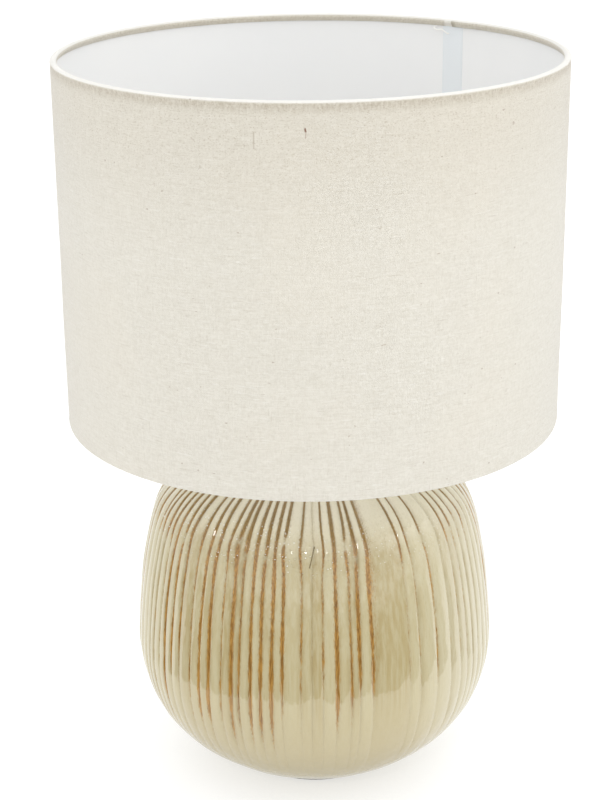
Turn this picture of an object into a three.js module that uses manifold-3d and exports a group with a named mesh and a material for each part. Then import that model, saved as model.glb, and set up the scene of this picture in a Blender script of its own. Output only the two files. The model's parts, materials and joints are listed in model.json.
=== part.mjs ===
// A table lamp: a ribbed ceramic gourd base, a lampholder on a short metal neck, a candle bulb and a
// linen drum shade on a three-armed wire carrier. Millimetres, +Z up, origin on the table at the lamp's axis.
import * as THREE from "three";
import { mergeVertices } from "three/addons/utils/BufferGeometryUtils.js";
import Module from "manifold-3d";

const wasm = await Module();
wasm.setup();

// ---- Driving dimensions ----
const GAP = 0.3; // between pieces that touch
const SEGMENTS = { large: 48, small: 24 };

const SHADE = { radius: 150, bottom: 232, height: 220, cloth: 0.6, liner: 0.6, seamWidth: 15, seamAzimuth: 52 };
const WIRE = { radius: 1.2, arms: 3, firstArmAzimuth: 90 };
const CARRIER = { bore: 21, radius: 27, thickness: 1.5, seat: 273 };

const CERAMIC = { wall: 6, footBore: 36, footRadius: 53.5, crownBore: 6, crownFlat: 17, height: 212 };
const PAD = { radius: 54, thickness: 2 };
const GROMMET = { height: 40, bore: 4.8, neck: 6.4, flange: 9, flangeThickness: 1.6, innerSeat: -5.4, outerSeat: -0.9 };

const TUBE = { radius: 5, bore: 3.6, bottom: 192, top: 246 };
const HOLDER = { bottom: 237.6, split: 263, radius: 19.5, wall: 2.2, threadPitch: 3, threadRadius: 19.8, top: 301 };
const FLANGE = { radius: 24, thickness: 3.7 };
const COLLAR = { radius: 23.4, flange: 26.5, flangeThickness: 2.5, height: 10 };
const BAR = { height: 253, radius: 2.7, length: 50.5, travel: 5 };
const SHELL = { bore: 13.5, wall: 0.5, bottom: 271.8, top: 298 };
const LEAF = { length: 14, width: 6, thickness: 0.5, tilt: THREE.MathUtils.degToRad(12), root: [-9, 0, 273.55] };

const BULB = { bottom: 277, crest: 13.1, capTop: 304, housingTop: 337, radius: 17.5, top: 382 };

// ---- Finishes ----
const finish = (color, roughness, metalness = 0) => new THREE.MeshStandardMaterial({ color, roughness, metalness });
const FINISHES = {
  glaze: finish(0xcfc9a4, 0.15),
  linen: finish(0xe8e3d8, 0.95),
  liner: finish(0xf2f2f0, 0.55),
  paintedSteel: finish(0xf0f0ec, 0.45),
  brass: finish(0xb99a5a, 0.3, 1),
  nickel: finish(0xc9c9c6, 0.25, 1),
  steel: finish(0xb4b4b2, 0.4, 1),
  rubber: finish(0x2a2a2a, 0.85),
  felt: finish(0x6d6a60, 1),
  whitePlastic: finish(0xf0eee8, 0.35),
  porcelain: finish(0xf4f2ec, 0.2),
  blackGlass: finish(0x1a1a1a, 0.2),
  opal: finish(0xfaf8f2, 0.3),
};

// ---- Building helpers ----
const lamp = new THREE.Group();

function addMesh(name, geometry, material) {
  const mesh = new THREE.Mesh(geometry, material);
  mesh.name = name;
  lamp.add(mesh);
  return mesh;
}

// A body of revolution about Z from [radius, height] points, which run anticlockwise round the section.
function turned(points, segments = SEGMENTS.small) {
  const profile = points.map(([radius, height]) => new THREE.Vector2(radius, height));
  return new THREE.LatheGeometry(profile, segments).rotateX(Math.PI / 2);
}

// A flat ring or tube about Z.
const ring = (bore, radius, bottom, top, segments) =>
  turned([[bore, bottom], [radius, bottom], [radius, top], [bore, top], [bore, bottom]], segments);

// Points of a smooth curve through the [radius, height] knots.
const smooth = (knots, divisions) =>
  new THREE.SplineCurve(knots.map((knot) => new THREE.Vector2(...knot)))
    .getSpacedPoints(divisions)
    .map((point) => [point.x, point.y]);

// Points of an arc about a centre, both ends included. Angles in degrees.
function arc([x, y], radius, from, to, divisions) {
  return Array.from({ length: divisions + 1 }, (_, i) => {
    const angle = THREE.MathUtils.degToRad(from + ((to - from) * i) / divisions);
    return [x + radius * Math.cos(angle), y + radius * Math.sin(angle)];
  });
}

function solidOf(geometry) {
  const bare = geometry.clone();
  bare.deleteAttribute("normal");
  bare.deleteAttribute("uv");
  const merged = mergeVertices(bare, 1e-4);
  const mesh = new wasm.Mesh({
    numProp: 3,
    vertProperties: new Float32Array(merged.attributes.position.array),
    triVerts: new Uint32Array(merged.index.array),
  });
  return new wasm.Manifold(mesh);
}

function geometryOf(solid) {
  const { vertProperties, triVerts } = solid.getMesh();
  const geometry = new THREE.BufferGeometry();
  geometry.setAttribute("position", new THREE.BufferAttribute(new Float32Array(vertProperties), 3));
  geometry.setIndex(new THREE.BufferAttribute(new Uint32Array(triVerts), 1));
  return geometry;
}

const cut = (geometry, ...tools) =>
  geometryOf(tools.reduce((solid, tool) => solid.subtract(solidOf(tool)), solidOf(geometry)));

// A cylinder of a length along X, centred on the origin.
const rodAlongX = (radius, length, segments = SEGMENTS.small) =>
  new THREE.CylinderGeometry(radius, radius, length, segments).rotateZ(-Math.PI / 2);

const onCircle = (radius, azimuthDegrees, height) => {
  const azimuth = THREE.MathUtils.degToRad(azimuthDegrees);
  return new THREE.Vector3(radius * Math.cos(azimuth), radius * Math.sin(azimuth), height);
};

// ---- Ceramic body ----
const footHeight = PAD.thickness + GAP;
const ceramicOutline = smooth(
  [
    [CERAMIC.footRadius, footHeight], [70, 10], [90.5, 26], [105, 47], [112, 72], [112.2, 95], [109, 128],
    [104.5, 153], [100.5, 169], [94.5, 182], [83.7, 192.5], [67.8, 201], [44, 208.5], [CERAMIC.crownFlat, CERAMIC.height],
  ],
  20,
);

// The wall's inner face: the outline moved inwards along its own normals.
function inset(outline, distance) {
  return outline.map(([radius, height], i) => {
    const [r0, z0] = outline[Math.max(i - 1, 0)];
    const [r1, z1] = outline[Math.min(i + 1, outline.length - 1)];
    const length = Math.hypot(r1 - r0, z1 - z0);
    return [radius - ((z1 - z0) / length) * distance, height + ((r1 - r0) / length) * distance];
  });
}

// Where the outline passes a height, with its slope from the vertical.
function wallAt(height) {
  const i = ceramicOutline.findIndex(([, z]) => z > height);
  const [[r0, z0], [r1, z1]] = [ceramicOutline[i - 1], ceramicOutline[i]];
  const radius = r0 + ((r1 - r0) * (height - z0)) / (z1 - z0);
  return { radius, slope: Math.atan2(r1 - r0, z1 - z0) };
}

function addCeramicBody() {
  const inner = inset(ceramicOutline, CERAMIC.wall)
    .filter(([radius, height]) => height > footHeight + CERAMIC.wall + 3 && radius > CERAMIC.crownFlat + 8)
    .reverse();
  const underside = CERAMIC.height - CERAMIC.wall;
  const shell = turned(
    [
      [CERAMIC.footBore, footHeight],
      ...ceramicOutline,
      [CERAMIC.crownBore, CERAMIC.height],
      [CERAMIC.crownBore, underside],
      [CERAMIC.crownFlat, underside],
      ...inner,
      [CERAMIC.footBore, footHeight + CERAMIC.wall],
      [CERAMIC.footBore, footHeight],
    ],
    SEGMENTS.large,
  );
  addMesh("ceramic_body", cut(shell, grommetFrame(grommetHole())), FINISHES.glaze);
}

// The cable hole with a flat seat for each of the grommet's flanges.
function grommetHole() {
  const neck = GROMMET.neck + GAP;
  const flange = GROMMET.flange + GAP;
  const section = [
    [0, -20], [flange, -20], [flange, GROMMET.innerSeat], [neck, GROMMET.innerSeat],
    [neck, GROMMET.outerSeat], [flange, GROMMET.outerSeat], [flange, 10], [0, 10],
  ].map(([radius, height]) => new THREE.Vector2(radius, height));
  return new THREE.LatheGeometry(section, SEGMENTS.small);
}

// Turns a geometry built along Y so that it lies in the cable hole, square to the wall, at the back.
function grommetFrame(geometry) {
  const { radius, slope } = wallAt(GROMMET.height);
  return geometry.rotateX(-slope).translate(0, radius, GROMMET.height);
}

function addCableGrommet() {
  const { bore, neck, flange, flangeThickness } = GROMMET;
  const outside = GROMMET.outerSeat + GAP;
  const inside = GROMMET.innerSeat - GAP;
  const section = [
    [bore, inside - flangeThickness], [flange, inside - flangeThickness], [flange, inside], [neck, inside],
    [neck, outside], [flange, outside], [flange - 0.6, outside + flangeThickness],
    [bore, outside + flangeThickness], [bore, inside - flangeThickness],
  ].map(([radius, height]) => new THREE.Vector2(radius, height));
  addMesh("cable_grommet", grommetFrame(new THREE.LatheGeometry(section, SEGMENTS.small)), FINISHES.rubber);
}

// ---- Foot and the stack on the threaded tube ----
function addFootPad() {
  const { radius, thickness } = PAD;
  addMesh("foot_pad", turned([[0, 0], [radius, 0], [radius, thickness], [0, thickness]], SEGMENTS.large), FINISHES.felt);
}

function hexNut(bore, acrossFlats, bottom, thickness) {
  const corner = acrossFlats / Math.sqrt(3);
  const outline = new THREE.Shape(
    Array.from({ length: 6 }, (_, i) => {
      const angle = (i * Math.PI) / 3;
      return new THREE.Vector2(corner * Math.cos(angle), corner * Math.sin(angle));
    }),
  );
  outline.holes.push(new THREE.Path().absarc(0, 0, bore, 0, 2 * Math.PI, true));
  const options = { depth: thickness, bevelEnabled: false, curveSegments: 24 };
  return new THREE.ExtrudeGeometry(outline, options).translate(0, 0, bottom);
}

function addTubeStack() {
  const around = TUBE.radius + GAP;
  const underside = CERAMIC.height - CERAMIC.wall;
  const rubber = { top: underside - GAP, thickness: 2 };
  const plate = { top: rubber.top - rubber.thickness - GAP, thickness: 1.4 };
  const nut = { top: plate.top - plate.thickness - GAP, thickness: 5, acrossFlats: 14 };

  addMesh("threaded_tube", ring(TUBE.bore, TUBE.radius, TUBE.bottom, TUBE.top), FINISHES.steel);
  addMesh("inner_rubber_washer", ring(around, 16, rubber.top - rubber.thickness, rubber.top), FINISHES.rubber);
  addMesh("inner_steel_washer", ring(around, 15, plate.top - plate.thickness, plate.top), FINISHES.steel);
  addMesh("inner_hex_nut", hexNut(around, nut.acrossFlats, nut.top - nut.thickness, nut.thickness), FINISHES.brass);

  const capBottom = CERAMIC.height + GAP;
  const crownCap = turned([
    [around, capBottom], [16, capBottom], [23, capBottom - 0.9], [23.6, capBottom - 0.2],
    [21, capBottom + 1.5], [15, capBottom + 3.2], [8.5, capBottom + 4], [around, capBottom + 4], [around, capBottom],
  ]);
  addMesh("crown_cap", crownCap, FINISHES.brass);

  const sleeveBottom = capBottom + 4 + GAP;
  const sleeveTop = HOLDER.bottom - GAP;
  const bead = (sleeveBottom + sleeveTop) / 2;
  const neckSleeve = turned([
    [around, sleeveBottom], [9.5, sleeveBottom], [9.5, sleeveBottom + 1.5], [7.6, sleeveBottom + 2.8],
    [7.6, bead - 2.2], ...arc([7.6, bead], 2.2, -60, 60, 4), [7.6, bead + 2.2],
    [7.6, sleeveTop - 2.8], [9, sleeveTop - 1.5], [9, sleeveTop], [around, sleeveTop], [around, sleeveBottom],
  ]);
  addMesh("neck_sleeve", neckSleeve, FINISHES.brass);
}

// ---- Lampholder ----
function addHolderCap() {
  const { bottom, split, radius, wall } = HOLDER;
  const around = TUBE.radius + GAP;
  const shell = turned([
    [around, bottom], [9, bottom], [9, bottom + 4.5], [12, bottom + 6.4], [17.5, bottom + 8.4], [radius, bottom + 10.4],
    [radius, split - GAP], [radius - wall, split - GAP], [radius - wall, bottom + 11.6], [15, bottom + 9.4],
    [8, bottom + 7.4], [around, bottom + 7.4], [around, bottom],
  ]);
  const barHole = rodAlongX(BAR.radius + GAP, 60).translate(0, 0, BAR.height);
  const grubHole = new THREE.CylinderGeometry(1.8, 1.8, 10, 16).translate(0, -10, bottom + 2.3);
  addMesh("holder_cap", cut(shell, barHole, grubHole), FINISHES.whitePlastic);
  const grubScrew = new THREE.CylinderGeometry(1.5, 1.5, 4, 16).translate(0, -7.6, bottom + 2.3);
  addMesh("holder_grub_screw", grubScrew, FINISHES.steel);
}

function addSwitch() {
  const [blockBottom, blockTop] = [BAR.height - 5.5, HOLDER.split];
  const block = new THREE.BoxGeometry(16, 13, blockTop - blockBottom).translate(0, 0, (blockTop + blockBottom) / 2);
  const bore = rodAlongX(BAR.radius + GAP, 30).translate(0, 0, BAR.height);
  addMesh("switch_housing", cut(block, bore), FINISHES.porcelain);

  // The push bar stands further out on the left, the side that is pressed next.
  const { radius, length } = BAR;
  const rounding = 1;
  const bar = turned([
    [0, 0], ...arc([radius - rounding, rounding], rounding, -90, 0, 3),
    ...arc([radius - rounding, length - rounding], rounding, 0, 90, 3), [0, length],
  ]);
  const left = -(HOLDER.radius + 3 + BAR.travel);
  addMesh("switch_bar", bar.rotateY(Math.PI / 2).translate(left, 0, BAR.height), FINISHES.whitePlastic);
}

function addTerminals() {
  for (const [name, side] of [["live", 1], ["neutral", -1]]) {
    const block = new THREE.BoxGeometry(5, 5, 8.6).translate(0, side * 10, HOLDER.split - 4.3);
    addMesh(`terminal_${name}`, block, FINISHES.brass);
    const screw = new THREE.CylinderGeometry(1.6, 1.6, 1.8, 16).translate(0, side * 13.8, HOLDER.split - 4.3);
    addMesh(`terminal_screw_${name}`, screw, FINISHES.steel);
  }
}

function addContactCarrier() {
  const bottom = HOLDER.split + GAP;
  const step = SHELL.bottom - GAP;
  const carrier = turned([[0, bottom], [17, bottom], [17, step], [12.5, step], [12.5, step + 1.5], [0, step + 1.5]]);
  addMesh("contact_carrier", carrier, FINISHES.porcelain);

  const { length, width, thickness, tilt, root } = LEAF;
  const leaf = new THREE.BoxGeometry(length, width, thickness).translate(length / 2, 0, 0);
  addMesh("centre_contact", leaf.rotateY(-tilt).translate(...root), FINISHES.brass);

  addMesh("screw_shell", ring(SHELL.bore, SHELL.bore + SHELL.wall, SHELL.bottom, SHELL.top), FINISHES.brass);
}

// A saw-tooth edge that stands for a thread on a lathe section, from one height to another.
function threadEdge(root, crest, from, to, pitch) {
  const turns = Math.round(Math.abs(to - from) / pitch);
  const step = (to - from) / turns;
  return Array.from({ length: turns }, (_, i) => [
    [root, from + step * i], [crest, from + step * (i + 0.35)], [crest, from + step * (i + 0.65)],
  ]).flat().concat([[root, to]]);
}

function addHolderSkirt() {
  const { split, radius, threadRadius, threadPitch, top } = HOLDER;
  const flangeTop = CARRIER.seat - GAP;
  const skirt = turned([
    [17.4, split], [radius, split], [radius, flangeTop - FLANGE.thickness - 1.5],
    [FLANGE.radius, flangeTop - FLANGE.thickness], [FLANGE.radius, flangeTop],
    ...threadEdge(threadRadius - 0.7, threadRadius, flangeTop, flangeTop + 18, threadPitch),
    [18.2, flangeTop + 20], [18.2, top - 1], [17.4, top], [15.4, top], [15, top - 1], [15, SHELL.bottom], [17.4, SHELL.bottom],
    [17.4, split],
  ]);
  addMesh("holder_skirt", skirt, FINISHES.whitePlastic);
}

// ---- Shade ring that clamps the shade's carrier on the lampholder ----
function addShadeRing() {
  const bottom = CARRIER.seat + CARRIER.thickness + GAP;
  const bore = HOLDER.threadRadius + 0.4;
  const section = turned([
    [bore, bottom], [COLLAR.flange, bottom], [COLLAR.flange, bottom + COLLAR.flangeThickness - 0.6],
    [COLLAR.flange - 0.6, bottom + COLLAR.flangeThickness], [COLLAR.radius, bottom + COLLAR.flangeThickness],
    [COLLAR.radius, bottom + COLLAR.height - 0.8], [COLLAR.radius - 0.8, bottom + COLLAR.height],
    [bore, bottom + COLLAR.height], [bore, bottom],
  ]);
  addMesh("shade_ring", section, FINISHES.whitePlastic);
}

// ---- Shade ----
const wrap = { outer: WIRE.radius + GAP + SHADE.cloth, inner: WIRE.radius + GAP };
const wireCircle = SHADE.radius - wrap.outer;
const shadeTop = SHADE.bottom + SHADE.height;
const wireHeights = { top_wire_ring: shadeTop - wrap.outer, bottom_wire_ring: SHADE.bottom + wrap.outer };

function addShadeCloth() {
  const { radius, cloth } = SHADE;
  const [low, high] = [wireHeights.bottom_wire_ring, wireHeights.top_wire_ring];
  const tuck = 0.8; // how far the turned-in edge runs past the wire's middle
  const insideLeg = wireCircle - wrap.outer;
  const section = [
    ...arc([wireCircle, low], wrap.outer, -180, 0, 5),
    ...arc([wireCircle, high], wrap.outer, 0, 180, 5),
    [insideLeg, high - tuck], [insideLeg + cloth, high - tuck],
    ...arc([wireCircle, high], wrap.inner, 180, 0, 5),
    ...arc([wireCircle, low], wrap.inner, 0, -180, 5),
    [insideLeg + cloth, low + tuck], [insideLeg, low + tuck],
    [radius - 2 * wrap.outer, low],
  ];
  addMesh("shade_fabric", turned(section, SEGMENTS.large), FINISHES.linen);
}

function addLiner() {
  const outer = SHADE.radius - SHADE.cloth - GAP;
  const inner = outer - SHADE.liner;
  const [low, high] = [wireHeights.bottom_wire_ring + 4.5, wireHeights.top_wire_ring - 2.5];
  addMesh("shade_liner", ring(inner, outer, low, high, SEGMENTS.large), FINISHES.liner);

  // The overlap where the liner's two ends meet, a strip on its inner face.
  const { seamWidth, seamAzimuth } = SHADE;
  const half = THREE.MathUtils.radToDeg(seamWidth / 2 / inner);
  const [stripOuter, stripInner] = [inner - GAP - 0.2, inner - GAP - 0.7];
  const outline = new THREE.Shape(
    [
      ...arc([0, 0], stripOuter, seamAzimuth - half, seamAzimuth + half, 4),
      ...arc([0, 0], stripInner, seamAzimuth + half, seamAzimuth - half, 4),
    ].map((point) => new THREE.Vector2(...point)),
  );
  const strip = new THREE.ExtrudeGeometry(outline, { depth: high - low - 4, bevelEnabled: false });
  addMesh("liner_seam_strip", strip.translate(0, 0, low + 2), FINISHES.liner);
}

function addShadeFrame() {
  for (const [name, height] of Object.entries(wireHeights)) {
    const wire = turned(arc([wireCircle, height], WIRE.radius, 0, 360, 8), SEGMENTS.large);
    addMesh(name, wire, FINISHES.paintedSteel);
  }

  const { bore, radius, thickness, seat } = CARRIER;
  addMesh("carrier_ring", ring(bore, radius, seat, seat + thickness), FINISHES.paintedSteel);

  const section = new THREE.Shape().absarc(0, 0, WIRE.radius, 0, 2 * Math.PI);
  const start = wireHeights.bottom_wire_ring + WIRE.radius + GAP;
  const armEnd = seat + thickness / 2;
  for (let i = 0; i < WIRE.arms; i += 1) {
    const azimuth = WIRE.firstArmAzimuth + (i * 360) / WIRE.arms;
    const route = new THREE.CatmullRomCurve3([
      onCircle(wireCircle - 0.6, azimuth, start),
      onCircle(wireCircle - 1.2, azimuth, start + 2),
      onCircle(wireCircle - 7, azimuth, start + 5.5),
      onCircle(90, azimuth, 253.5),
      onCircle(36, azimuth, armEnd - 1),
      onCircle(radius + GAP, azimuth, armEnd),
    ]);
    const options = { steps: 16, extrudePath: route, curveSegments: 3, bevelEnabled: false };
    addMesh(`carrier_arm_${i + 1}`, new THREE.ExtrudeGeometry(section, options), FINISHES.paintedSteel);
  }
}

// ---- Bulb ----
function addBulb() {
  const { bottom, crest, capTop, housingTop, radius, top } = BULB;
  const tipTop = bottom + 2;
  const tip = turned([[0, bottom], [3, bottom], [4.4, bottom + 1], [4.4, tipTop], [0, tipTop]]);
  addMesh("bulb_tip_contact", tip, FINISHES.nickel);

  const insulator = turned([
    [0, tipTop + GAP], [5, tipTop + GAP], [10.8, tipTop + 3.4], [10.8, tipTop + 4.4], [0, tipTop + 4.4],
  ]);
  addMesh("bulb_insulator", insulator, FINISHES.blackGlass);

  const threadBottom = tipTop + 4.4 + GAP;
  const shell = turned([
    [10.9, threadBottom], [11.6, threadBottom],
    ...threadEdge(crest - 1, crest, threadBottom + 0.8, capTop - 4.6, 3.6),
    [crest, capTop - 3.6], [crest, capTop], [10.9, capTop], [10.9, threadBottom],
  ]);
  addMesh("bulb_screw_cap", shell, FINISHES.nickel);

  const housingBottom = capTop + GAP;
  const housing = turned([
    [9, housingBottom], [crest + 0.4, housingBottom], [14.8, housingBottom + 8], [16.6, housingTop - 10],
    [17.1, housingTop], [15.4, housingTop], [14.6, housingTop - 10], [12, housingBottom + 6], [9, housingBottom + 3],
    [9, housingBottom],
  ]);
  addMesh("bulb_housing", housing, FINISHES.whitePlastic);

  const plateBottom = housingTop + GAP;
  addMesh("bulb_led_plate", turned([[0, plateBottom], [14.8, plateBottom], [14.8, plateBottom + 1.4], [0, plateBottom + 1.4]]),
    FINISHES.steel);

  const dome = (wall, foot) => [
    ...smooth([
      [17.1 - wall, foot], [radius - wall, housingTop + 12], [14.6 - wall, housingTop + 27],
      [7.5 - wall / 2, housingTop + 39.5], [2.6, top - 1.4 - wall], [0, top - wall],
    ], 9).slice(0, -1),
    [0, top - wall],
  ];
  const outer = turned([[0, housingTop + GAP], ...dome(0, housingTop + GAP)]);
  const inner = turned([[0, housingTop - 3], ...dome(1.4, housingTop - 3)]);
  addMesh("bulb_globe", cut(outer, inner), FINISHES.opal);
}

addFootPad();
addCeramicBody();
addCableGrommet();
addTubeStack();
addHolderCap();
addSwitch();
addTerminals();
addContactCarrier();
addHolderSkirt();
addShadeRing();
addShadeCloth();
addLiner();
addShadeFrame();
addBulb();

export default lamp;
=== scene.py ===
"""A table lamp: a linen drum shade on a ribbed ceramic base with a celadon glaze, in metres, +Z up."""
import json
import math
import random

import bmesh
import bpy
import numpy as np
from mathutils import Matrix, Vector, noise


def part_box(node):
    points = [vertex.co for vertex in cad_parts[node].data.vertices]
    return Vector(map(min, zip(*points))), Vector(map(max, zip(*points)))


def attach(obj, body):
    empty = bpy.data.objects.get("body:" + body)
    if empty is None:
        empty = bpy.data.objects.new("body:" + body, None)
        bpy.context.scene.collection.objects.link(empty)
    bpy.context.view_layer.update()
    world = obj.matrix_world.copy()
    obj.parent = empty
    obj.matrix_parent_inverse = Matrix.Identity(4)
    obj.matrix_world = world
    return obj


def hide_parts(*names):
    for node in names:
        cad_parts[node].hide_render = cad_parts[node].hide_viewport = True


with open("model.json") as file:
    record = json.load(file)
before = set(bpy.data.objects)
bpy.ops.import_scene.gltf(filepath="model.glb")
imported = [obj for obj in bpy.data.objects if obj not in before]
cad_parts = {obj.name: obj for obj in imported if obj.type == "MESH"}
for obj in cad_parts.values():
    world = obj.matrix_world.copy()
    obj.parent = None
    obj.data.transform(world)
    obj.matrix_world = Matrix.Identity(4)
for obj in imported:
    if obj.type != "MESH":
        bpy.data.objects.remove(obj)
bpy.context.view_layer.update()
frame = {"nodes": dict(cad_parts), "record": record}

MM = 0.001
TURN = 2 * math.pi
random.seed(7)


def add_object(name, data):
    added = bpy.data.objects.new(name, data)
    bpy.context.scene.collection.objects.link(added)
    return added


# ---- Camera, floor and lights ----
CAMERA = {"distance": 1.090, "height": 0.6346, "pitch": 0.3498, "yaw": -0.0073, "roll": -0.010}
FOCAL_PIXELS, FRAME_PIXELS = 1876, 800
LAMP_MIDDLE = Vector((0, 0, 0.24))
# Square lights: names, places, sides in metres and powers in watts.
SOFTBOXES = [
    ("softbox_left", (-1.8, -0.1, 0.9), 1.8, 1.5), ("softbox_right", (1.8, -0.3, 1.0), 1.8, 6.5),
    ("softbox_top", (0, 0.2, 2.2), 2.4, 5), ("front_light", (-0.3, -1.7, 1.28), 0.12, 2),
]
FLOOR_SIDE = 60


def make_camera():
    data = bpy.data.cameras.new("camera")
    data.lens = FOCAL_PIXELS / FRAME_PIXELS * data.sensor_width
    camera = add_object("camera", data)
    turn = Matrix.Rotation(-CAMERA["yaw"], 4, "Z") @ Matrix.Rotation(math.pi / 2 - CAMERA["pitch"], 4, "X")
    turn = turn @ Matrix.Rotation(CAMERA["roll"], 4, "Z")
    camera.matrix_world = Matrix.Translation((0, -CAMERA["distance"], CAMERA["height"])) @ turn
    bpy.context.scene.camera = camera


def add_softbox(name, place, side, power):
    data = bpy.data.lights.new(name, "AREA")
    data.shape = "RECTANGLE"
    data.size = data.size_y = side
    data.energy = power
    light = add_object(name, data)
    light.location = place
    light.rotation_euler = (LAMP_MIDDLE - Vector(place)).to_track_quat("-Z", "Y").to_euler()


def add_flag():
    """A dark sheet on the floor in front that only reflections show, like the room beyond a pale board. It is
    part of a ring, open at the back."""
    middle, near, far, height = Vector((0.028, -0.01)), 0.28, 2.2, 0.001
    azimuths = [math.radians(-90 + angle) for angle in range(-84, 85, 4)]
    vertices = [
        (middle.x + radius * math.cos(azimuth), middle.y + radius * math.sin(azimuth), height)
        for azimuth in azimuths for radius in (near, far)
    ]
    faces = [(2 * i, 2 * i + 1, 2 * i + 3, 2 * i + 2) for i in range(len(azimuths) - 1)]
    flag = new_object("flag", vertices, faces)
    look = Look("flag_card", roughness=1.0)
    distance = look.node("VectorMath", look.place(), operation="LENGTH").outputs["Value"]
    paler = look.span(distance, near, far, 0.0, 0.8)
    look.set("Base Color", look.mix(paler, srgb(56, 54, 48), srgb(215, 215, 210)))
    flag.data.materials.append(look.material)
    for kind in ("camera", "diffuse", "transmission", "shadow", "volume_scatter"):
        setattr(flag, "visible_" + kind, False)


def make_studio():
    bpy.context.scene.view_settings.view_transform = "Standard"
    world = bpy.data.worlds.new("studio")
    world.use_nodes = True
    background = world.node_tree.nodes["Background"]
    background.inputs["Color"].default_value = (1, 1, 1, 1)
    bpy.context.scene.world = world
    for softbox in SOFTBOXES:
        add_softbox(*softbox)
    add_flag()

    bpy.ops.mesh.primitive_plane_add(size=FLOOR_SIDE)
    floor = bpy.context.object
    floor.name = "floor"
    floor.data.materials.append(floor_material())


# ---- Materials ----
def srgb(red, green, blue):
    """A linear colour from the 0 to 255 values of a screen colour."""
    def linear(value):
        value /= 255
        return value / 12.92 if value <= 0.04045 else ((value + 0.055) / 1.055) ** 2.4
    return (linear(red), linear(green), linear(blue), 1.0)


class Look:
    """A Principled material whose nodes are added in one line each."""

    def __init__(self, name, color=(0.8, 0.8, 0.8, 1), roughness=0.5, **sockets):
        self.material = bpy.data.materials.new(name)
        self.material.use_nodes = True
        self.tree = self.material.node_tree
        self.surface = self.tree.nodes["Principled BSDF"]
        self.color = color
        self.set("Base Color", color)
        self.set("Roughness", roughness)
        for socket, value in sockets.items():
            self.set(socket.replace("_", " "), value)

    def set(self, socket, value):
        self.feed(self.surface.inputs[socket], value)

    def feed(self, socket, value):
        if isinstance(value, bpy.types.NodeSocket):
            self.tree.links.new(value, socket)
        else:
            socket.default_value = value

    def node(self, kind, *values, **settings):
        node = self.tree.nodes.new("ShaderNode" + kind)
        for setting, value in settings.items():
            setattr(node, setting, value)
        for index, value in enumerate(values):
            self.feed(node.inputs[index], value)
        return node

    def math(self, operation, *values):
        return self.node("Math", *values, operation=operation).outputs[0]

    def times(self, first, *others):
        for other in others:
            first = self.math("MULTIPLY", first, other)
        return first

    def plus(self, first, second):
        return self.math("ADD", first, second)

    def place(self):
        """The point's own place in metres."""
        return self.node("TexCoord").outputs["Object"]

    def place_in_mm(self):
        return self.scaled(self.place(), (1 / MM, 1 / MM, 1 / MM))

    def split(self, vector):
        return self.node("SeparateXYZ", vector).outputs[:]

    def scaled(self, vector, factors):
        return self.node("VectorMath", vector, factors, operation="MULTIPLY").outputs[0]

    def named(self, node, **values):
        """The node with values in the sockets of these names."""
        for socket, value in values.items():
            self.feed(node.inputs[socket], value)
        return node

    def noise(self, vector, scale=1, detail=2, roughness=0.5):
        node = self.node("TexNoise")
        return self.named(node, Vector=vector, Scale=scale, Detail=detail, Roughness=roughness).outputs["Fac"]

    def streaks(self, vector, across, along, detail=2, roughness=0.5):
        """Noise with one scale sideways and another up: marks up the lamp where across is the larger."""
        return self.noise(self.scaled(vector, (across, across, along)), 1, detail, roughness)

    def span(self, value, low, high, to_low=0, to_high=1, smooth=True):
        """The value taken from one range to another and kept inside it."""
        kind = "SMOOTHSTEP" if smooth else "LINEAR"
        return self.node("MapRange", value, low, high, to_low, to_high, interpolation_type=kind).outputs[0]

    def mix(self, share, first, second):
        node = self.node("Mix", data_type="RGBA")
        for index, value in ((0, share), (6, first), (7, second)):
            self.feed(node.inputs[index], value)
        return node.outputs[2]

    def paint(self, share, *screen_color):
        """Mixes a colour, as 0 to 255 values, over the surface's colour so far."""
        self.color = self.mix(share, self.color, srgb(*screen_color))
        self.set("Base Color", self.color)

    def bump(self, height, distance, strength=1):
        node = self.named(self.node("Bump"), Strength=strength, Distance=distance, Height=height)
        self.set("Normal", node.outputs["Normal"])


def floor_material():
    look = Look("pale_floor", srgb(192, 193, 194), 0.7, Specular_IOR_Level=0.1)
    look.set("Emission Color", srgb(250, 250, 250))
    look.set("Emission Strength", 0.62)
    look.bump(look.noise(look.place(), 900), 0.00005)
    return look.material


# Threads round the shade.
THREADS_ROUND = 1520

# Slubs in the linen: scales across and along, from and to in the noise, a share and a colour.
SLUBS = [
    (0.10, 1.5, 0.66, 0.76, 0.24, (176, 164, 144)),
    (1.5, 0.16, 0.68, 0.78, 0.22, (178, 166, 146)),
    (0.14, 1.1, 0.64, 0.74, 0.3, (248, 246, 240)),
]

# Marks on the linen's front: millimetres right and below the top, degrees of lean, half width and half length
# in millimetres, a share and a colour.
HUSKS = [
    (-2.8, 14.8, -10, 0.3, 0.7, 0.85, (126, 84, 62)),
    (-2.6, 17.5, 5, 0.1, 1.2, 0.45, (150, 118, 96)),
    (-29.2, 20.5, 1, 0.15, 4, 0.36, (158, 138, 114)),
]


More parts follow.
